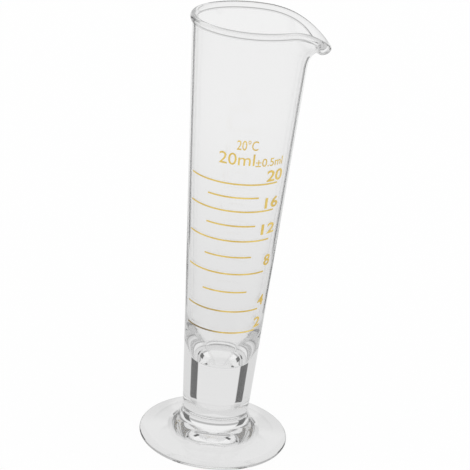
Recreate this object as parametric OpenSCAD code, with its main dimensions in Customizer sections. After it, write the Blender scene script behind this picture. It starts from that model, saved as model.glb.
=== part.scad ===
// Conical graduated measuring glass for 20 ml, on a round foot, in millimetres.
// Origin: centre of the foot on the table. +Z runs up the axis of the bowl.
// The scale faces -Y and the pouring lip leans out beside +X.

/* [Bowl] */
// Height of the top of the rim above the table
total_h = 122.7; // [116:0.1:130]
// Outer diameter of the wall where it reaches the rim
mouth_d = 31.6; // [29:0.1:36]
// Outer diameter of the solid glass at the waist above the foot
waist_d = 18.65; // [17.5:0.05:20.5]
// Height of the waist above the table
waist_z = 8.6; // [8:0.1:10]
// Thickness of the wall from the top of its taper up to the rim
upper_wall = 0.5; // [0.45:0.05:1]
// Thickness of the wall where it springs from the rounded bottom of the cavity
lower_wall = 1.3; // [0.9:0.05:2.4]
// Height at which the wall springs from the rounded bottom
spring_z = 39; // [37:0.1:43]
// Height at which the wall stops getting thinner
taper_top_z = 77.3; // [70:0.1:100]

/* [Cavity bottom] */
// Height of the lowest point of the cavity above the table
floor_z = 23.6; // [22.5:0.1:24.5]
// Radius of the knee, where the nearly flat floor turns up into the cone
knee_r = 5.4; // [4:0.1:6.5]
// Height of the knee
knee_z = 24.8; // [24.2:0.1:26.5]
// Lean of the cone above the knee, from upright
knee_lean = 24; // [14:1:34]
// Flatness of the floor, from domed to flat
floor_flatness = 0.6; // [0.3:0.05:0.9]

/* [Rim] */
// Width of the fire-polished bead across the wall
bead_w = 1.65; // [1.3:0.05:2.2]
// Height of the bead
bead_h = 2.15; // [1.6:0.05:2.8]

/* [Pouring lip] */
// Direction of the lip, turned from +X away from the scale
lip_dir = 9.4; // [0:0.1:20]
// How far the middle of the bead is drawn out at the tip
lip_reach = 4.4; // [2:0.1:5]
// How far the bead droops at the tip
lip_drop = 5.6; // [2:0.1:7]
// Half the angle of the rim that is drawn out
lip_spread = 57; // [45:1:70]
// Half the angle of the rim that droops
droop_spread = 90; // [75:1:110]
// How closely the droop gathers at the tip
droop_focus = 3.3; // [2:0.1:4]
// How far the wall leans over at the tip, from upright towards level
lip_lean = 66; // [30:1:80]
// Height of the wall that bends into the lip, below the middle of the bead
lip_wall_h = 10.8; // [9:0.1:16]

/* [Stem and foot] */
// Height of the joint between the bowl and the stem
stem_top_z = 20.9; // [18:0.1:22]
// Height of the weld between the stem and the foot
weld_z = 13; // [12:0.1:16]
// Diameter of the foot
foot_d = 42.1; // [40:0.1:50]
// Thickness of the foot at its rounded edge
foot_edge_h = 0.8; // [0.6:0.1:2]
// Width of the rounding at the edge of the foot
foot_edge_w = 0.4; // [0.3:0.05:1]
// Fall of the top of the foot from the ring to the edge, in degrees
foot_fall = 13; // [10:0.5:18]
// Diameter of the ring where the flare of the waist meets the top of the foot
ring_d = 26.4; // [23:0.1:30]
// Angle of the crease at the ring
ring_crease = 18; // [0:1:30]
// Diameter of the domed hollow under the foot
hollow_d = 36.4; // [30:0.1:37.5]
// Depth of the hollow under the foot
hollow_h = 2.8; // [1.5:0.1:3.5]

/* [Scale] */
// Height of a graduation line
line_w = 0.45; // [0.3:0.05:0.8]
// How far the fired enamel stands proud of the glass
enamel = 0.06; // [0.04:0.01:0.15]
// How much more than its number each line holds, in millilitres
print_allowance = 0.5; // [0:0.05:0.5]
// Angle of a long line on the left of the middle of the scale
long_left = 62; // [40:1:75]
// Angle of a long line on the right of the middle of the scale
long_right = 50; // [40:1:60]
// Angle of a short line on the left of the middle of the scale
short_left = 34; // [20:1:40]
// Angle of a short line on the right of the middle of the scale
short_right = 27; // [15:1:35]

/* [Hidden] */

clear_glass = [0.86, 0.9, 0.91, 0.45];
enamel_gold = [0.8, 0.6, 0.16];

// The outside of the wall is one straight taper, from the waist to the rim.
rim_z = total_h - bead_h / 2;
wall_slope = (mouth_d - waist_d) / 2 / (rim_z - waist_z);
wall_angle = atan(wall_slope);
function outer_r(z) = waist_d / 2 + wall_slope * (z - waist_z);

// The drawn lip starts at this height. Its root stands inside the blown wall,
// by root_skin on each side and root_h deep, where the two melt together.
lip_root_z = rim_z - lip_wall_h;
root_skin = 0.03;
root_h = 0.5;

// The inside of the cavity: a nearly flat floor out to the knee, a cone that
// bends over into the wall, and then the straight wall, which gets thinner.
function bezier(a, b, c, d, t) =
    pow(1 - t, 3) * a + 3 * pow(1 - t, 2) * t * b + 3 * (1 - t) * t * t * c + pow(t, 3) * d;
function leaning(direction) = [sin(direction), cos(direction)];
floor_steps = 8;
cone_steps = 12;
knee = [knee_r, knee_z];
spring = [outer_r(spring_z) - lower_wall, spring_z];
taper_top = [outer_r(taper_top_z) - upper_wall, taper_top_z];
up_the_wall = (taper_top - spring) / norm(taper_top - spring);
// How firmly each curve keeps the direction it starts or ends with
knee_turn = (knee_z - floor_z) * 0.75;
cone_turn = (spring_z - knee_z) * 0.42;
wall_turn = (spring_z - knee_z) * 0.35;
floor_curve = [for (i = [0:floor_steps]) bezier(
    [0, floor_z],
    [floor_flatness * knee_r, floor_z],
    knee - knee_turn * leaning(knee_lean),
    knee,
    i / floor_steps)];
cone_curve = [for (i = [1:cone_steps]) bezier(
    knee,
    knee + cone_turn * leaning(knee_lean),
    spring - wall_turn * up_the_wall,
    spring,
    i / cone_steps)];
cavity = concat(floor_curve, cone_curve, [taper_top,
    [outer_r(lip_root_z) - upper_wall, lip_root_z]]);

// Each line stands where the cavity below it holds its volume and the allowance.
// The cavity is added up in slices, each of them a frustum.
function frustum(a, b) =
    PI * (b[1] - a[1]) / 3 * (a[0] * a[0] + a[0] * b[0] + b[0] * b[0]);
function volume_below(i) = i == 0 ? 0 : volume_below(i - 1) + frustum(cavity[i - 1], cavity[i]);
volumes = [for (i = [0:len(cavity) - 1]) volume_below(i)];
function slice_for(mm3) = max([for (i = [0:len(cavity) - 2]) if (volumes[i] <= mm3) i]);
function height_for(mm3) =
    let (i = slice_for(mm3), low = cavity[i], high = cavity[i + 1],
        slope = (high[0] - low[0]) / (high[1] - low[1]),
        r3 = pow(low[0], 3) + 3 * slope * (mm3 - volumes[i]) / PI)
    low[1] + (pow(r3, 1 / 3) - low[0]) / slope;
mm3_per_ml = 1000;

// The lip is a bump that runs round the rim from its tip.
lip_sections = 96;
wall_steps = 8;
bead_steps = 10;
function bump(angle, spread) =
    let (from_tip = abs((angle + 540) % 360 - 180))
    from_tip < spread ? (1 + cos(180 * from_tip / spread)) / 2 : 0;

// A section of the rim, as points [radius, height], at an angle from the tip.
// The wall follows a curve from its root to the neck of the bead.
function neck_back(half_wall) =
    bead_h / 2 * sqrt(1 - pow(half_wall / (bead_w / 2), 2));
function wall_curve(root, neck, lean, t) =
    let (span = norm(neck - root),
        start = leaning(wall_angle) * span * 1.4,
        end = leaning(lean) * span)
    (2 * pow(t, 3) - 3 * t * t + 1) * root + (pow(t, 3) - 2 * t * t + t) * start
        + (3 * t * t - 2 * pow(t, 3)) * neck + (pow(t, 3) - t * t) * end;
function wall_normal(root, neck, lean, t) =
    let (step = 0.001,
        ahead = wall_curve(root, neck, lean, min(1, t + step)),
        behind = wall_curve(root, neck, lean, max(0, t - step)),
        along = (ahead - behind) / norm(ahead - behind))
    [along[1], -along[0]];
function rim_section(angle) =
    let (half = upper_wall / 2,
        root_half = half - root_skin,
        lean = wall_angle + lip_lean * bump(angle, lip_spread),
        bead = [outer_r(rim_z) - half + lip_reach * bump(angle, lip_spread),
            rim_z - lip_drop * pow(bump(angle, droop_spread), droop_focus)],
        along = leaning(lean),
        across = [along[1], -along[0]],
        neck = bead - along * neck_back(half),
        root = [outer_r(lip_root_z) - half, lip_root_z],
        buried = root - leaning(wall_angle) * root_h,
        neck_angle = asin(half / (bead_w / 2)),
        outside = [for (i = [0:wall_steps - 1]) let (t = i / wall_steps)
            wall_curve(root, neck, lean, t)
                + wall_normal(root, neck, lean, t) * (t == 0 ? root_half : half)],
        bead_arc = [for (i = [0:bead_steps]) let (a = neck_angle + (360 - 2 * neck_angle) * i / bead_steps)
            bead - along * bead_h / 2 * cos(a) + across * bead_w / 2 * sin(a)],
        inside = [for (i = [wall_steps - 1:-1:0]) let (t = i / wall_steps)
            wall_curve(root, neck, lean, t)
                - wall_normal(root, neck, lean, t) * (t == 0 ? root_half : half)])
    concat([buried + [root_half, 0]], outside, bead_arc, inside, [buried - [root_half, 0]]);

module drawn_rim() {
    ring = len(rim_section(0));
    points = [for (s = [0:lip_sections - 1]) let (a = 360 * s / lip_sections)
        for (p = rim_section(a)) [p[0] * cos(a), p[0] * sin(a), p[1]]];
    faces = [for (s = [0:lip_sections - 1]) for (i = [0:ring - 1])
        let (n = (s + 1) % lip_sections, j = (i + 1) % ring,
            a = s * ring + i, b = s * ring + j, c = n * ring + j, d = n * ring + i)
        each [[a, b, c], [a, c, d]]];
    rotate([0, 0, lip_dir]) polyhedron(points, faces);
}

module blown_cone() {
    rotate_extrude($fn = 180) polygon(concat(
        [[0, stem_top_z], [outer_r(stem_top_z), stem_top_z],
            [outer_r(lip_root_z), lip_root_z]],
        [for (i = [len(cavity) - 1:-1:0]) cavity[i]]));
}

module bowl() {
    color(clear_glass) {
        blown_cone();
        drawn_rim();
    }
}

// Points of an arc about a centre, from one angle to another.
function arc(centre, rx, ry, from, to, steps) =
    [for (i = [0:steps]) let (a = from + (to - from) * i / steps)
        centre + [rx * cos(a), ry * sin(a)]];

module stem() {
    color(clear_glass) rotate_extrude($fn = 180) polygon([
        [0, weld_z], [outer_r(weld_z), weld_z],
        [outer_r(stem_top_z), stem_top_z], [0, stem_top_z]]);
}

// The top of the foot falls in a straight line that meets the rounded edge
// without a corner. The flare is an arc that touches the wall and ends in a
// crease at the ring on that line.
edge_centre = [foot_d / 2 - foot_edge_w, foot_edge_h / 2];
edge_angle = atan(foot_edge_h / 2 / (foot_edge_w * tan(foot_fall)));
edge_top = edge_centre + [foot_edge_w * cos(edge_angle), foot_edge_h / 2 * sin(edge_angle)];
function foot_top_z(r) = edge_top[1] + (edge_top[0] - r) * tan(foot_fall);
flare_end = foot_fall + ring_crease;
ring_z = foot_top_z(ring_d / 2);
// How far the flare runs out and up, for each unit of its radius
flare_out = cos(wall_angle) - sin(flare_end);
flare_up = cos(flare_end) + sin(wall_angle);
flare_r = (ring_d / 2 - outer_r(ring_z)) / (flare_out + wall_slope * flare_up);
flare_top_z = ring_z + flare_r * flare_up;
flare_centre = [outer_r(flare_top_z), flare_top_z]
    + flare_r * [cos(wall_angle), -sin(wall_angle)];

module foot() {
    hollow_ball_r = (pow(hollow_d / 2, 2) + pow(hollow_h, 2)) / (2 * hollow_h);
    color(clear_glass) difference() {
        rotate_extrude($fn = 180) polygon(concat(
            [[0, 0]],
            arc(edge_centre, foot_edge_w, foot_edge_h / 2, -90, edge_angle, 14),
            arc(flare_centre, flare_r, flare_r, 270 - flare_end, 180 - wall_angle, 14),
            [[outer_r(weld_z), weld_z], [0, weld_z]]));
        translate([0, 0, hollow_h - hollow_ball_r]) sphere(hollow_ball_r, $fn = 180);
    }
}

// A graduation is a thin band of enamel on the outside of the wall.
module graduation(ml, left, right) {
    z = height_for((ml + print_allowance) * mm3_per_ml);
    low = z - line_w / 2;
    high = z + line_w / 2;
    color(enamel_gold) rotate([0, 0, -90 - left])
        rotate_extrude(angle = left + right, $fn = 180) polygon([
            [outer_r(low), low], [outer_r(low) + enamel, low],
            [outer_r(high) + enamel, high], [outer_r(high), high]]);
}

module line_02_ml() { graduation(2, long_left, long_right); }
module line_04_ml() { graduation(4, long_left, long_right); }
module line_06_ml() { graduation(6, short_left, short_right); }
module line_08_ml() { graduation(8, long_left, long_right); }
module line_10_ml() { graduation(10, short_left, short_right); }
module line_12_ml() { graduation(12, long_left, long_right); }
module line_14_ml() { graduation(14, short_left, short_right); }
module line_16_ml() { graduation(16, long_left, long_right); }
module line_18_ml() { graduation(18, short_left, short_right); }
module line_20_ml() { graduation(20, long_left, long_right); }

bowl();
stem();
foot();
line_02_ml();
line_04_ml();
line_06_ml();
line_08_ml();
line_10_ml();
line_12_ml();
line_14_ml();
line_16_ml();
line_18_ml();
line_20_ml();
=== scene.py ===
"""The looks of a conical graduated measuring glass: its clear glass, its enamel print and a studio."""

import logging
import math
from dataclasses import dataclass, field
from enum import Enum
from functools import cached_property

import bmesh
import bpy
from mathutils import Matrix, Vector


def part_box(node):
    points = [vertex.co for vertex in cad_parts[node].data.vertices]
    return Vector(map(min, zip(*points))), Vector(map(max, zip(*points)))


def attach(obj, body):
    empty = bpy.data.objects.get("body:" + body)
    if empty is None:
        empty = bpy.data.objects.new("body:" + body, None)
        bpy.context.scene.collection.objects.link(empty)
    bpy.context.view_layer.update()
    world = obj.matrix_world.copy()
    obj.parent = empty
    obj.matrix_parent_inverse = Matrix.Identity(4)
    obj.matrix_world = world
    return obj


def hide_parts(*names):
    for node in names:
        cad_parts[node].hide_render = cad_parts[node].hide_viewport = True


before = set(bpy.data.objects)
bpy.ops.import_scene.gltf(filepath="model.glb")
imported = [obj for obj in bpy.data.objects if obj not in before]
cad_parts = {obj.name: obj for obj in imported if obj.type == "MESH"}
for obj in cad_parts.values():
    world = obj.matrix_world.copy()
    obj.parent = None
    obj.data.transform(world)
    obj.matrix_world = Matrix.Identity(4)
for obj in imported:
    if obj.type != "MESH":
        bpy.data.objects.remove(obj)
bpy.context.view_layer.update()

log = logging.getLogger("measuring_glass")

# Sizes below are in millimetres, as on a drawing. A finished piece is scaled to metres.
MM = 0.001
# Points closer than this are one point.
MERGE = 1e-4
# A face whose points are this near a height lies flat at it.
FLAT = 1e-3
# Height of a figure in the plain typeface at size 1
FIGURE_H = 0.729
# Vertex layer that keeps each point's place in the outline it was spun from
PLACE = "place"

Point = tuple[float, float]


def node_box(node: str) -> tuple[Vector, Vector]:
    """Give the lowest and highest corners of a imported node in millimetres.

    Args:
        node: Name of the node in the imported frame.

    Returns:
        The two corners.
    """
    low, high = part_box(node)
    return low / MM, high / MM


def arc(centre: Point, rx: float, ry: float, start: float, end: float, steps: int) -> list[Point]:
    """Lay points on an elliptic arc.

    Args:
        centre: Centre of the ellipse.
        rx: Half its width.
        ry: Half its height.
        start: First angle in degrees, from the direction of growing radius.
        end: Last angle in degrees.
        steps: Number of steps between the two.

    Returns:
        The points, both ends included.
    """
    turns = (math.radians(start + (end - start) * i / steps) for i in range(steps + 1))
    return [(centre[0] + rx * math.cos(a), centre[1] + ry * math.sin(a)) for a in turns]


class Signal:
    """A shader socket on which Python's arithmetic adds Math nodes."""

    def __init__(self, nodes: "Nodes", socket: bpy.types.NodeSocket) -> None:
        """Wrap an output socket of a node tree."""
        self.nodes = nodes
        self.socket = socket

    def math(self, operation: str, *values: "Signal | float") -> "Signal":
        """Feed this socket and more values to a Math node.

        Args:
            operation: The Math node's operation.
            values: The node's values after the first.

        Returns:
            The node's result.
        """
        made = self.nodes.add("ShaderNodeMath", {"operation": operation}, [self, *values])
        return Signal(self.nodes, made.outputs[0])

    def __add__(self, other: "Signal | float") -> "Signal":
        """Add a value."""
        return self.math("ADD", other)

    __radd__ = __add__

    def __mul__(self, other: "Signal | float") -> "Signal":
        """Multiply by a value."""
        return self.math("MULTIPLY", other)

    __rmul__ = __mul__

    def __sub__(self, other: "Signal | float") -> "Signal":
        """Take a value away."""
        return self.math("SUBTRACT", other)

    def __rsub__(self, other: float) -> "Signal":
        """Take this socket away from a number."""
        return self * -1.0 + other

    def between(self, low: float, high: float) -> "Signal":
        """Rise smoothly from 0 at one value to 1 at another.

        Args:
            low: Where the result is 0.
            high: Where the result is 1.

        Returns:
            The smooth step.
        """
        settings = {"interpolation_type": "SMOOTHSTEP"}
        values = {"Value": self, "From Min": low, "From Max": high}
        made = self.nodes.add("ShaderNodeMapRange", settings, values)
        return Signal(self.nodes, made.outputs[0])


Value = Signal | float | tuple | bpy.types.NodeSocket


class Nodes:
    """A node tree that is written as expressions."""

    def __init__(self, tree: bpy.types.NodeTree) -> None:
        """Empty the tree and wrap it."""
        tree.nodes.clear()
        self.tree = tree

    def add(self, kind: str, settings: dict | None = None, values: dict | list = ()) -> bpy.types.Node:
        """Add one node.

        Args:
            kind: The node's type.
            settings: Its settings, by name. The key "stops" sets a colour ramp.
            values: Its sockets' numbers or links, by name, or in order as a list.

        Returns:
            The node.
        """
        made = self.tree.nodes.new(kind)
        for name, setting in (settings or {}).items():
            if name == "stops":
                self._set_stops(made.color_ramp, setting)
            else:
                setattr(made, name, setting)
        items = values.items() if isinstance(values, dict) else enumerate(values)
        for name, value in items:
            self.feed(made.inputs[name], value)
        return made

    def out(self, kind: str, output: str, settings: dict | None = None, values: dict | list = ()) -> Signal:
        """Add one node and give one of its outputs.

        Args:
            kind: The node's type.
            output: Name of the output.
            settings: As for add.
            values: As for add.

        Returns:
            The output, ready for arithmetic.
        """
        return Signal(self, self.add(kind, settings, values).outputs[output])

    def feed(self, target: bpy.types.NodeSocket, value: Value) -> None:
        """Link a socket, or set its number or colour.

        Args:
            target: The input socket.
            value: A signal or socket to link, or a plain value.
        """
        if isinstance(value, Signal):
            self.tree.links.new(value.socket, target)
        elif isinstance(value, bpy.types.NodeSocket):
            self.tree.links.new(value, target)
        else:
            target.default_value = value

    @staticmethod
    def _set_stops(ramp: bpy.types.ColorRamp, stops: list[tuple[float, tuple]]) -> None:
        """Set a colour ramp's stops, two or more.

        Args:
            ramp: The ramp, with its first two stops.
            stops: Positions and colours, in order.
        """
        for place, (position, colour) in enumerate(stops):
            stop = ramp.elements[place] if place < 2 else ramp.elements.new(position)
            stop.position = position
            stop.color = colour


def seen_in_glass(nodes: Nodes) -> Signal:
    """Tell the rays that the glass bends or mirrors from all others.

    Args:
        nodes: The tree to build in.

    Returns:
        1 on those rays, and 0 on the rest.
    """
    path = nodes.add("ShaderNodeLightPath")
    seen = Signal(nodes, path.outputs["Is Glossy Ray"]) + Signal(nodes, path.outputs["Is Transmission Ray"])
    return seen.math("MINIMUM", 1.0)


@dataclass(frozen=True)
class Finish:
    """A material with a name of its own."""

    name: str

    def material(self) -> bpy.types.Material:
        """Make the material, or give the one already made."""
        known = bpy.data.materials.get(self.name)
        if known:
            return known
        made = bpy.data.materials.new(self.name)
        made.use_nodes = True
        nodes = Nodes(made.node_tree)
        surface = self.surface(nodes)
        nodes.add("ShaderNodeOutputMaterial", values={"Surface": surface})
        return made

    def surface(self, nodes: Nodes) -> Signal:
        """Build the shader. Each finish has its own."""
        raise NotImplementedError


@dataclass(frozen=True)
class ClearGlass(Finish):
    """Hand-worked clear glass: even, with the slow waves that the flame leaves.

    Light that has turned more often than trapped_after is let out, dimmed. Real glass doesn't do
    this. It stands in for light that finds its way out of a real stem, and its values were picked.
    """

    tint: tuple[float, float, float, float] = (0.99, 0.99, 0.99, 1.0)
    refraction: float = 1.5
    wave_scale: float = 55.0
    wave_height: float = 0.00006
    trapped_after: float = 5.0
    leak: tuple[float, float, float, float] = (0.72, 0.72, 0.72, 1.0)

    def surface(self, nodes: Nodes) -> Signal:
        """Build refracting glass with faint waves in its surface.

        Args:
            nodes: The material's tree, to build in.

        Returns:
            The shader.
        """
        place = nodes.out("ShaderNodeTexCoord", "Object")
        waves = nodes.out("ShaderNodeTexNoise", "Fac",
                          values={"Vector": place, "Scale": self.wave_scale, "Detail": 1.0})
        bump = nodes.out("ShaderNodeBump", "Normal",
                         values={"Height": waves, "Distance": self.wave_height, "Strength": 1.0})
        glass = nodes.out("ShaderNodeBsdfPrincipled", "BSDF", values={
            "Base Color": self.tint, "Roughness": 0.0, "IOR": self.refraction,
            "Transmission Weight": 1.0, "Normal": bump})
        trapped = nodes.out("ShaderNodeLightPath", "Ray Depth").math("GREATER_THAN", self.trapped_after)
        leak = nodes.out("ShaderNodeBsdfTransparent", "BSDF", values={"Color": self.leak})
        return nodes.out("ShaderNodeMixShader", "Shader", values=[trapped, glass, leak])


@dataclass(frozen=True)
class MeltedJoint(Finish):
    """The face where two pieces of glass are melted together, which doesn't show."""

    def surface(self, nodes: Nodes) -> Signal:
        """Build a shader that lets everything pass."""
        return nodes.out("ShaderNodeBsdfTransparent", "BSDF")


@dataclass(frozen=True)
class FiredEnamel(Finish):
    """Golden yellow enamel, printed thinly and fired onto the glass, darker low on the left."""

    thin: tuple[float, float, float, float] = (0.86, 0.64, 0.165, 1.0)
    full: tuple[float, float, float, float] = (0.67, 0.45, 0.07, 1.0)
    low_left_dark: tuple[float, float, float, float] = (0.13, 0.09, 0.06, 1.0)
    low_left_across: tuple[float, float] = (-0.0045, 0.0005)
    low_left_up: tuple[float, float] = (0.0375, 0.049)
    grain_scale: float = 1400.0
    patch_scale: float = 260.0
    patch_share: float = 0.65
    cover_range: tuple[float, float] = (0.35, 0.65)
    grain_height: float = 0.00002

    def surface(self, nodes: Nodes) -> Signal:
        """Build grainy enamel whose thickness, and so its colour, varies.

        Args:
            nodes: The material's tree, to build in.

        Returns:
            The shader.
        """
        place = nodes.out("ShaderNodeTexCoord", "Object")
        grain = nodes.out("ShaderNodeTexNoise", "Fac",
                          values={"Vector": place, "Scale": self.grain_scale, "Detail": 3.0})
        patch = nodes.out("ShaderNodeTexNoise", "Fac",
                          values={"Vector": place, "Scale": self.patch_scale, "Detail": 2.0})
        cover = patch * self.patch_share + grain * (1.0 - self.patch_share)
        stops = list(zip(self.cover_range, (self.thin, self.full)))
        colour = nodes.out("ShaderNodeValToRGB", "Color", {"stops": stops}, {"Fac": cover})
        split = nodes.add("ShaderNodeSeparateXYZ", values=[place])
        across, up = Signal(nodes, split.outputs["X"]), Signal(nodes, split.outputs["Z"])
        # Darker low on the left of the print: the colour is mixed towards a dark brown there.
        low_left_mask = (1.0 - across.between(*self.low_left_across)) * (1.0 - up.between(*self.low_left_up))
        colour = nodes.out("ShaderNodeMixRGB", "Color", values={
            "Fac": low_left_mask * (grain * 0.6 + 0.5), "Color1": colour, "Color2": self.low_left_dark})
        bump = nodes.out("ShaderNodeBump", "Normal",
                         values={"Height": grain, "Distance": self.grain_height, "Strength": 0.6})
        return nodes.out("ShaderNodeBsdfPrincipled", "BSDF", values={
            "Base Color": colour, "Roughness": grain * 0.2 + 0.3, "IOR": 1.5, "Normal": bump})


CLEAR_GLASS = ClearGlass("fire_polished_glass")
MELTED_JOINT = MeltedJoint("melted_joint")
FIRED_ENAMEL = FiredEnamel("fired_enamel")


def revolve(outline: list[Point], steps: int) -> bmesh.types.BMesh:
    """Spin an outline round the Z axis into a closed shell.

    Args:
        outline: Points as (radius, height), in order along the surface.
        steps: Number of steps in the full turn.

    Returns:
        The shell, with its normals outwards and each point's place in the outline in a layer.
    """
    mesh = bmesh.new()
    layer = mesh.verts.layers.int.new(PLACE)
    points = [mesh.verts.new((r, 0.0, z)) for r, z in outline]
    for place, point in enumerate(points):
        point[layer] = place
    edges = [mesh.edges.new(pair) for pair in zip(points, points[1:])]
    bmesh.ops.spin(mesh, geom=points + edges, cent=(0, 0, 0), axis=(0, 0, 1), dvec=(0, 0, 0),
                   angle=math.tau, steps=steps, use_merge=True, use_duplicate=False)
    bmesh.ops.remove_doubles(mesh, verts=mesh.verts, dist=MERGE)
    bmesh.ops.recalc_face_normals(mesh, faces=mesh.faces)
    return mesh


def finish_piece(mesh: bmesh.types.BMesh, name: str, finishes: list[Finish],
                 corner: float = 40.0) -> bpy.types.Object:
    """Turn a shell in millimetres into a piece of the glass in metres.

    Args:
        mesh: The closed shell. It is freed.
        name: The piece's name.
        finishes: Its finishes, in the order of its faces' material numbers.
        corner: Angle in degrees from which an edge stays sharp.

    Returns:
        The piece, riding on the frame's one body.
    """
    bmesh.ops.transform(mesh, matrix=Matrix.Scale(MM, 4), verts=mesh.verts)
    data = bpy.data.meshes.new(name)
    mesh.to_mesh(data)
    mesh.free()
    for finish in finishes:
        data.materials.append(finish.material())
    data.polygons.foreach_set("use_smooth", [True] * len(data.polygons))
    data.set_sharp_from_angle(angle=math.radians(corner))
    piece = bpy.data.objects.new(name, data)
    bpy.context.scene.collection.objects.link(piece)
    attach(piece, "root")
    log.info("%s: %d faces", name, len(data.polygons))
    return piece


def mark_joint(mesh: bmesh.types.BMesh, height: float) -> None:
    """Give the flat faces at a height the second finish.

    Args:
        mesh: The shell, in millimetres.
        height: Height of the joint.
    """
    for face in mesh.faces:
        if all(abs(v.co.z - height) < FLAT for v in face.verts):
            face.material_index = 1


@dataclass
class Taper:
    """The straight outer taper that bowl, stem and foot share."""

    mouth_d: float = 31.6
    waist_d: float = 18.65
    waist_z: float = 8.6
    bead_h: float = 2.15

    @cached_property
    def rim_z(self) -> float:
        """Height of the middle of the bead."""
        return node_box("bowl")[1].z - self.bead_h / 2

    @cached_property
    def slope(self) -> float:
        """Growth of the radius with height."""
        return (self.mouth_d - self.waist_d) / 2 / (self.rim_z - self.waist_z)

    @property
    def angle(self) -> float:
        """Lean of the wall from upright, in degrees."""
        return math.degrees(math.atan(self.slope))

    def outer_r(self, z: float) -> float:
        """Radius of the outside of the glass at a height."""
        return self.waist_d / 2 + self.slope * (z - self.waist_z)


def bump(angle: float, spread: float) -> float:
    """Rise from 0 at an angle of spread to 1 at the tip of the lip.

    Args:
        angle: Angle from the tip in degrees.
        spread: Half the angle that the bump takes.

    Returns:
        The height of the bump.
    """
    from_tip = abs((angle + 540) % 360 - 180)
    return (1 + math.cos(math.pi * from_tip / spread)) / 2 if from_tip < spread else 0.0


def leaning(degrees: float) -> Vector:
    """Give the direction (radius, height) that leans so far out from upright."""
    return Vector((math.sin(math.radians(degrees)), math.cos(math.radians(degrees))))


def bezier(corners: list[Vector], steps: int) -> list[Point]:
    """Lay points on a cubic curve.

    Args:
        corners: Its four control points, as (radius, height).
        steps: Number of steps along it.

    Returns:
        The points, both ends included.
    """
    points = []
    for i in range(steps + 1):
        t = i / steps
        weights = ((1 - t) ** 3, 3 * (1 - t) ** 2 * t, 3 * (1 - t) * t * t, t ** 3)
        points.append(tuple(sum((w * c for w, c in zip(weights, corners)), Vector((0, 0)))))
    return points


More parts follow.
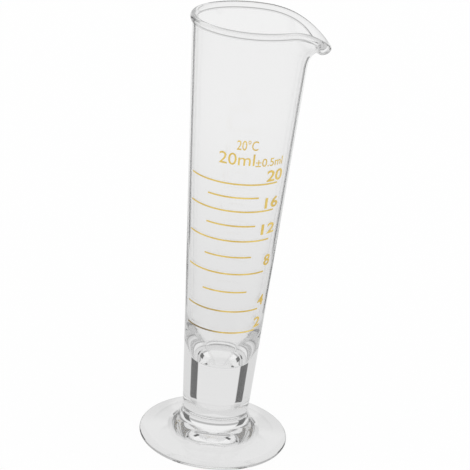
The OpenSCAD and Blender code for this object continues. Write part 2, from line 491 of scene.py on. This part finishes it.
@dataclass
class Bowl:
    """The blown cone with its cavity, its beaded rim and its pouring lip."""

    taper: Taper
    upper_wall: float = 0.5
    lower_wall: float = 1.3
    taper_top_z: float = 77.3
    spring_z: float = 39.0
    floor_z: float = 23.6
    knee_r: float = 5.4
    knee_z: float = 24.8
    knee_lean: float = 24.0
    floor_flatness: float = 0.6
    knee_turn: float = 0.75
    cone_turn: float = 0.42
    wall_turn: float = 0.35
    bead_w: float = 1.65
    lip_dir: float = 9.4
    lip_reach: float = 4.4
    lip_drop: float = 5.6
    lip_spread: float = 57.0
    droop_spread: float = 90.0
    droop_focus: float = 3.3
    lip_lean: float = 66.0
    lip_wall_h: float = 10.8
    lip_swell: float = 1.0
    swell_focus: float = 4.0
    swell_down: float = 0.4
    wall_pull: float = 1.4
    turn_steps: int = 288
    wall_steps: int = 22
    bead_steps: int = 30
    bottom_steps: int = 24

    @cached_property
    def joint_z(self) -> float:
        """Height of the joint with the stem."""
        return node_box("stem")[1].z

    def cavity(self) -> list[Point]:
        """Lay the inside of the cavity.

        Returns:
            Points from its lowest point up to the top of the thick wall.
        """
        spring = Vector((self.taper.outer_r(self.spring_z) - self.lower_wall, self.spring_z))
        top_r = self.taper.outer_r(self.taper_top_z) - self.upper_wall
        upward = (Vector((top_r, self.taper_top_z)) - spring).normalized()
        knee, outward = Vector((self.knee_r, self.knee_z)), leaning(self.knee_lean)
        floor_h, cone_h = self.knee_z - self.floor_z, self.spring_z - self.knee_z
        floor = [Vector((0, self.floor_z)), Vector((self.floor_flatness * self.knee_r, self.floor_z)),
                 knee - outward * self.knee_turn * floor_h, knee]
        cone = [knee, knee + outward * self.cone_turn * cone_h,
                spring - upward * self.wall_turn * cone_h, spring]
        points = bezier(floor, self.bottom_steps) + bezier(cone, self.bottom_steps)[1:]
        return points + [(top_r, self.taper_top_z)]

    def rim_section(self, angle: float) -> list[Point]:
        """Lay the rim's section at an angle from the tip of the lip.

        Args:
            angle: Angle round the axis in degrees, from the tip.

        Returns:
            Points up the outside of the wall, round the bead and down the inside.
        """
        taper, half = self.taper, self.upper_wall / 2
        reach, droop = bump(angle, self.lip_spread), bump(angle, self.droop_spread)
        lean = taper.angle + self.lip_lean * reach
        along = leaning(lean)
        across = Vector((along.y, -along.x))
        swell = self.lip_swell * reach ** self.swell_focus
        bead_w, bead_h = self.bead_w * (1 + swell), taper.bead_h * (1 + swell)
        bead = Vector((taper.outer_r(taper.rim_z) - half + self.lip_reach * reach,
                       taper.rim_z - self.lip_drop * droop ** self.droop_focus))
        bead += (across * self.bead_w * self.swell_down - along * taper.bead_h) * swell / 2
        back = bead_h / 2 * math.sqrt(1 - (half / (bead_w / 2)) ** 2)
        neck = bead - along * back
        root_z = taper.rim_z - self.lip_wall_h
        root = Vector((taper.outer_r(root_z) - half, root_z))
        span = (neck - root).length
        start, end = leaning(taper.angle) * span * self.wall_pull, along * span
        outside, inside = [], []
        for i in range(self.wall_steps):
            t = i / self.wall_steps
            middle = ((2 * t ** 3 - 3 * t * t + 1) * root + (t ** 3 - 2 * t * t + t) * start
                      + (3 * t * t - 2 * t ** 3) * neck + (t ** 3 - t * t) * end)
            run = ((6 * t * t - 6 * t) * (root - neck) + (3 * t * t - 4 * t + 1) * start
                   + (3 * t * t - 2 * t) * end).normalized()
            normal = Vector((run.y, -run.x))
            outside.append(tuple(middle + normal * half))
            inside.append(tuple(middle - normal * half))
        first = math.asin(half / (bead_w / 2))
        turns = (first + (math.tau - 2 * first) * i / self.bead_steps for i in range(self.bead_steps + 1))
        round_bead = [tuple(bead - along * bead_h / 2 * math.cos(a) + across * bead_w / 2 * math.sin(a))
                      for a in turns]
        return outside + round_bead + inside[::-1]

    def build(self) -> bpy.types.Object:
        """Model the bowl and draw its lip.

        Returns:
            The bowl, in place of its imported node.
        """
        base = [(0.0, self.joint_z), (self.taper.outer_r(self.joint_z), self.joint_z)]
        plain = self.rim_section(180.0)
        mesh = revolve(base + plain + self.cavity()[::-1], self.turn_steps)
        layer = mesh.verts.layers.int[PLACE]
        sections: dict[float, list[Point]] = {}
        for vert in mesh.verts:
            place = vert[layer] - len(base)
            if not 0 <= place < len(plain):
                continue
            turn = round(math.degrees(math.atan2(vert.co.y, vert.co.x)), 4)
            if turn not in sections:
                sections[turn] = self.rim_section(turn - self.lip_dir)
            r, z = sections[turn][place]
            vert.co = (r * math.cos(math.radians(turn)), r * math.sin(math.radians(turn)), z)
        mark_joint(mesh, self.joint_z)
        piece = finish_piece(mesh, "glass_bowl", [CLEAR_GLASS, MELTED_JOINT])
        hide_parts("bowl")
        return piece


@dataclass
class Stem:
    """The solid block of glass under the cavity."""

    taper: Taper
    turn_steps: int = 288

    def build(self) -> bpy.types.Object:
        """Model the stem.

        Returns:
            The stem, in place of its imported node.
        """
        low, high = (corner.z for corner in node_box("stem"))
        outline = [(0.0, low), (self.taper.outer_r(low), low), (self.taper.outer_r(high), high), (0.0, high)]
        mesh = revolve(outline, self.turn_steps)
        mark_joint(mesh, low)
        mark_joint(mesh, high)
        piece = finish_piece(mesh, "glass_stem", [CLEAR_GLASS, MELTED_JOINT])
        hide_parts("stem")
        return piece


@dataclass
class Foot:
    """The flared round foot with its boss and the shallow hollow under it."""

    taper: Taper
    edge_h: float = 0.8
    edge_w: float = 0.4
    fall: float = 13.0
    ring_d: float = 26.4
    ring_crease: float = 18.0
    hollow_d: float = 36.4
    hollow_h: float = 2.8
    turn_steps: int = 360

    def outline(self) -> list[Point]:
        """Lay the foot's outline.

        Returns:
            Points from the middle of the hollow round to the middle of the boss's top.
        """
        taper, top = self.taper, node_box("foot")[1]
        fall = math.radians(self.fall)
        ball_r = ((self.hollow_d / 2) ** 2 + self.hollow_h ** 2) / (2 * self.hollow_h)
        reach = math.degrees(math.asin(self.hollow_d / 2 / ball_r))
        hollow = arc((0.0, self.hollow_h - ball_r), ball_r, ball_r, 90, 90 - reach, 16)
        edge_centre = (top.x - self.edge_w, self.edge_h / 2)
        last = math.degrees(math.atan(self.edge_h / 2 / (self.edge_w * math.tan(fall))))
        edge = arc(edge_centre, self.edge_w, self.edge_h / 2, -90, last, 24)
        end, wall = math.radians(self.fall + self.ring_crease), math.radians(taper.angle)
        ring_z = edge[-1][1] + (edge[-1][0] - self.ring_d / 2) * math.tan(fall)
        out, up = math.cos(wall) - math.sin(end), math.cos(end) + math.sin(wall)
        flare_r = (self.ring_d / 2 - taper.outer_r(ring_z)) / (out + taper.slope * up)
        flare_top = ring_z + flare_r * up
        centre = (taper.outer_r(flare_top) + flare_r * math.cos(wall), flare_top - flare_r * math.sin(wall))
        flare = arc(centre, flare_r, flare_r, 270 - self.fall - self.ring_crease, 180 - taper.angle, 28)
        return [*hollow, *edge, *flare, (taper.outer_r(top.z), top.z), (0.0, top.z)]

    def build(self) -> bpy.types.Object:
        """Model the foot.

        Returns:
            The foot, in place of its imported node.
        """
        mesh = revolve(self.outline(), self.turn_steps)
        mark_joint(mesh, node_box("foot")[1].z)
        piece = finish_piece(mesh, "glass_foot", [CLEAR_GLASS, MELTED_JOINT])
        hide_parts("foot")
        return piece


class Weight(Enum):
    """How heavily a word or number is printed, as the stroke's added width in millimetres."""

    LIGHT = 0.02
    MEDIUM = 0.09
    BOLD = 0.16


@dataclass(frozen=True)
class Caption:
    """A number or a unit on the scale."""

    name: str
    words: str
    height: float
    width: float
    left: float
    base_z: float
    weight: Weight


@dataclass
class Scale:
    """The enamel print: ten lines, their numbers and the capacity."""

    taper: Taper
    enamel: float = 0.05
    sunk: float = 0.02
    line_w: float = 0.42
    long_left: float = 62.0
    long_right: float = 50.0
    short_left: float = 34.0
    short_right: float = 27.0
    front: float = -90.0
    strip_w: float = 0.35
    captions: list[Caption] = field(default_factory=lambda: [
        Caption("temperature", "20°C", 2.75, 5.65, -4.2, 91.1, Weight.LIGHT),
        Caption("capacity", "20ml", 3.44, 9.42, -22.6, 86.8, Weight.LIGHT),
        Caption("tolerance", "±0.5ml", 2.36, 8.44, 18.0, 86.5, Weight.LIGHT),
        Caption("number_20", "20", 3.24, 5.20, 34.0, 82.05, Weight.BOLD),
        Caption("number_16", "16", 3.10, 4.50, 36.6, 74.25, Weight.BOLD),
        Caption("number_12", "12", 3.10, 4.60, 36.6, 66.55, Weight.BOLD),
        Caption("number_08", "8", 3.24, 2.30, 48.6, 56.8, Weight.BOLD),
        Caption("number_04", "4", 3.10, 2.25, 48.8, 44.6, Weight.BOLD),
        Caption("number_02", "2", 3.10, 2.35, 47.6, 37.95, Weight.BOLD)])

    def line(self, node: str) -> bpy.types.Object:
        """Model one graduation line.

        Args:
            node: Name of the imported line, which gives its volume and its height.

        Returns:
            The line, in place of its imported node.
        """
        volume = int(node.split("_")[1])
        is_long = volume % 4 == 0 or volume == 2
        left, right = (self.long_left, self.long_right) if is_long else (self.short_left, self.short_right)
        low, high = node_box(node)
        middle = (low.z + high.z) / 2
        mesh = bmesh.new()
        turn = Matrix.Rotation(math.radians(self.front - left), 4, "Z")
        corners = []
        for z in (middle - self.line_w / 2, middle + self.line_w / 2):
            r = self.taper.outer_r(z)
            corners.append([mesh.verts.new(turn @ Vector((r - self.sunk, 0, z))),
                            mesh.verts.new(turn @ Vector((r + self.enamel, 0, z)))])
        face = mesh.faces.new([corners[0][0], corners[0][1], corners[1][1], corners[1][0]])
        steps = round(left + right)
        geometry = [face, *face.edges, *face.verts]
        bmesh.ops.spin(mesh, geom=geometry, cent=(0, 0, 0), axis=(0, 0, 1), dvec=(0, 0, 0),
                       angle=math.radians(left + right), steps=steps, use_merge=False, use_duplicate=False)
        bmesh.ops.holes_fill(mesh, edges=[e for e in mesh.edges if e.is_boundary], sides=4)
        bmesh.ops.recalc_face_normals(mesh, faces=mesh.faces)
        piece = finish_piece(mesh, f"enamel_{node}", [FIRED_ENAMEL])
        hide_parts(node)
        return piece

    def caption(self, item: Caption) -> bpy.types.Object:
        """Print a number or a unit round the wall.

        Args:
            item: What it says, its size and its place.

        Returns:
            The raised enamel letters as one piece.
        """
        curve = bpy.data.curves.new(item.name, "FONT")
        curve.body = item.words
        curve.size = 1.0
        curve.resolution_u = 6
        flat = bpy.data.objects.new(item.name, curve)
        bpy.context.scene.collection.objects.link(flat)
        bpy.context.view_layer.update()
        box = [Vector(corner) for corner in flat.bound_box]
        low_x, high_x = min(c.x for c in box), max(c.x for c in box)
        curve.offset = item.weight.value / item.height * FIGURE_H / 2
        curve.extrude = 0.5
        bpy.context.view_layer.update()
        shape = flat.evaluated_get(bpy.context.evaluated_depsgraph_get()).to_mesh()
        mesh = bmesh.new()
        mesh.from_mesh(shape)
        bpy.data.objects.remove(flat)
        bpy.data.curves.remove(curve)
        stretch = Matrix.Diagonal((item.width / (high_x - low_x), item.height / FIGURE_H, 1.0, 1.0))
        bmesh.ops.transform(mesh, matrix=stretch @ Matrix.Translation((-low_x, 0, 0)), verts=mesh.verts)
        bmesh.ops.remove_doubles(mesh, verts=mesh.verts, dist=MERGE)
        for i in range(1, math.ceil(item.width / self.strip_w)):
            everything = [*mesh.verts, *mesh.edges, *mesh.faces]
            bmesh.ops.bisect_plane(mesh, geom=everything, dist=1e-5,
                                   plane_co=(i * self.strip_w, 0, 0), plane_no=(1, 0, 0))
        for vert in mesh.verts:
            z = item.base_z + vert.co.y
            r = self.taper.outer_r(z)
            depth = self.enamel if vert.co.z > 0 else -self.sunk
            turn = math.radians(self.front + item.left) + vert.co.x / self.taper.outer_r(item.base_z)
            vert.co = ((r + depth) * math.cos(turn), (r + depth) * math.sin(turn), z)
        piece = finish_piece(mesh, f"enamel_{item.name}", [FIRED_ENAMEL])
        return piece

    def build(self) -> list[bpy.types.Object]:
        """Print the whole scale.

        Returns:
            The lines and the captions.
        """
        lines = [self.line(node) for node in sorted(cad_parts) if node.startswith("line_")]
        return lines + [self.caption(item) for item in self.captions]


@dataclass(frozen=True)
class BackLight:
    """The lit surroundings that show in the glass, brightest behind it, with a dark flag on each side.

    Turns are in degrees round the glass, from straight behind it. Rises are the upward part of a
    direction. All values were fitted by trial renders, and none was measured in a real studio.
    """

    bright: float = 0.90
    flag: float = 0.12
    side: float = 0.81
    flag_start: float = 27.2
    flag_end: float = 41.5
    flag_foot: float = -0.454
    flag_top: float = 0.53
    soft: float = 0.8
    foot_soft: float = 0.01
    top_soft: float = 0.05
    wall: float = 0.5
    wall_foot: tuple[float, float] = (-0.05, 0.1)
    wall_top: tuple[float, float] = (0.25, 0.42)
    # Painted shadow on the table round the foot, as the glass sees it: this level close to the glass, fading
    # out by far_start.
    near: float = 0.867
    near_end: float = 0.04
    far_start: float = 0.30

    def level(self, nodes: Nodes) -> Signal:
        """Give the brightness in the direction of a ray.

        Args:
            nodes: The world's tree, to build in.

        Returns:
            The brightness.
        """
        place = nodes.out("ShaderNodeTexCoord", "Generated")
        split = nodes.add("ShaderNodeSeparateXYZ", values=[place])
        x, y, rise = (Signal(nodes, split.outputs[axis]) for axis in "XYZ")
        turn = x.math("ABSOLUTE").math("ARCTAN2", y) * math.degrees(1)
        beyond = turn.between(self.flag_start - self.soft, self.flag_start + self.soft)
        after = turn.between(self.flag_end - self.soft, self.flag_end + self.soft)
        over = rise.between(self.flag_foot - self.foot_soft, self.flag_foot + self.foot_soft)
        under = 1.0 - rise.between(self.flag_top - self.top_soft, self.flag_top + self.top_soft)
        wall = rise.between(*self.wall_foot) * (1.0 - rise.between(*self.wall_top))
        open_level = (beyond * (self.side - self.bright) + self.bright) * (1.0 - wall * (1.0 - self.wall))
        flagged = (beyond - after) * over * under
        return open_level + flagged * (self.flag - open_level)

    def shade(self, nodes: Nodes) -> Signal:
        """Give the painted shadow on the table: the share of the light, smaller close to the glass.

        Args:
            nodes: The table's tree, to build in.

        Returns:
            The share of the light.
        """
        place = nodes.out("ShaderNodeTexCoord", "Object")
        distance = nodes.out("ShaderNodeVectorMath", "Value", {"operation": "LENGTH"}, [place])
        return distance.between(self.near_end, self.far_start) * (1.0 - self.near) + self.near


@dataclass(frozen=True)
class WhiteTable(Finish):
    """A white table that shows white, keeps a soft shadow, and lets the glass see the lit surroundings
    through a painted shadow round the foot.
    """

    lights: BackLight = BackLight()
    paint: tuple[float, float, float, float] = (0.9, 0.9, 0.9, 1.0)
    glow_share: float = 0.95

    def surface(self, nodes: Nodes) -> Signal:
        """Build a floor that is white to the camera and clear to the rays that the glass bends.

        Args:
            nodes: The material's tree, to build in.

        Returns:
            The shader.
        """
        camera = nodes.out("ShaderNodeLightPath", "Is Camera Ray")
        plain = nodes.out("ShaderNodeBsdfDiffuse", "BSDF", values={"Color": self.paint})
        white = nodes.out("ShaderNodeEmission", "Emission", values={"Strength": 1.0})
        # What the glass sees through the table is dimmed by a painted shadow round the foot.
        clear = nodes.out("ShaderNodeBsdfTransparent", "BSDF", values={"Color": self.lights.shade(nodes)})
        shown = nodes.out("ShaderNodeMixShader", "Shader", values=[camera * self.glow_share, plain, white])
        return nodes.out("ShaderNodeMixShader", "Shader", values=[seen_in_glass(nodes), shown, clear])


@dataclass
class Studio:
    """The camera, the table, the backdrop and the light."""

    frame_px: float = 470.0
    focal_px: float = 1643.885
    distance: float = 450.3
    elevation: float = 23.445
    aim_z: float = 53.9
    roll: float = -5.632
    pan: float = -0.097
    tilt: float = 0.898
    sensor: float = 36.0
    nearest: float = 10.0
    table_r: float = 4000.0
    table_steps: int = 96
    table_gap: float = 0.02
    turns: int = 12
    lights: BackLight = BackLight()

    def camera(self) -> bpy.types.Object:
        """Place the camera where a fit to the photograph puts it.

        Returns:
            The camera.
        """
        rise = math.radians(self.elevation)
        place = Vector((0, -math.cos(rise), math.sin(rise))) * self.distance + Vector((0, 0, self.aim_z))
        right = Vector((1, 0, 0))
        ahead = Vector((0, math.cos(rise), -math.sin(rise)))
        up = right.cross(ahead)
        axes = [right, up, ahead]
        for number, angle in ((1, self.pan), (0, self.tilt), (2, self.roll)):
            turn = Matrix.Rotation(math.radians(angle), 3, axes[number])
            axes = [turn @ axis for axis in axes]
        data = bpy.data.cameras.new("camera")
        data.sensor_width = self.sensor
        data.lens = self.sensor * self.focal_px / self.frame_px
        data.clip_start = self.nearest * MM
        made = bpy.data.objects.new("camera", data)
        turned = Matrix((axes[0], axes[1], -axes[2])).transposed()
        made.matrix_world = Matrix.Translation(place * MM) @ turned.to_4x4()
        bpy.context.scene.collection.objects.link(made)
        bpy.context.scene.camera = made
        return made

    def table(self) -> bpy.types.Object:
        """Lay the white table under the foot.

        Returns:
            The table, which belongs to the stage and not to the glass.
        """
        mesh = bmesh.new()
        bmesh.ops.create_circle(mesh, cap_ends=True, segments=self.table_steps,
                                radius=self.table_r * MM)
        bmesh.ops.translate(mesh, verts=mesh.verts, vec=(0, 0, -self.table_gap * MM))
        data = bpy.data.meshes.new("table")
        mesh.to_mesh(data)
        mesh.free()
        data.materials.append(WhiteTable("white_table", self.lights).material())
        made = bpy.data.objects.new("table", data)
        bpy.context.scene.collection.objects.link(made)
        return made

    def backdrop(self) -> bpy.types.World:
        """Surround the glass with the backdrop, which is white to the camera and lights it evenly.

        Returns:
            The world.
        """
        world = bpy.data.worlds.new("backdrop")
        bpy.context.scene.world = world
        world.use_nodes = True
        nodes = Nodes(world.node_tree)
        strength = seen_in_glass(nodes) * (self.lights.level(nodes) - 1.0) + 1.0
        light = nodes.out("ShaderNodeBackground", "Background",
                          values={"Color": (1.0, 1.0, 1.0, 1.0), "Strength": strength})
        nodes.add("ShaderNodeOutputWorld", values={"Surface": light})
        return world

    def light_paths(self) -> None:
        """Limit how often light turns inside the thick glass before it is given up."""
        paths = bpy.context.scene.cycles
        paths.max_bounces = self.turns
        paths.transmission_bounces = self.turns
        paths.glossy_bounces = self.turns
        paths.transparent_max_bounces = 2 * self.turns

    def build(self) -> None:
        """Set up the whole studio."""
        self.camera()
        self.table()
        self.backdrop()
        bpy.context.scene.view_settings.view_transform = "Standard"
        self.light_paths()


def main() -> None:
    """Build the measuring glass in its studio."""
    logging.basicConfig(level=logging.INFO, format="%(name)s: %(message)s")
    Studio().build()
    taper = Taper()
    Bowl(taper).build()
    Stem(taper).build()
    Foot(taper).build()
    pieces = Scale(taper).build()
    log.info("%d pieces of enamel print", len(pieces))


if __name__ == "__main__":
    main()
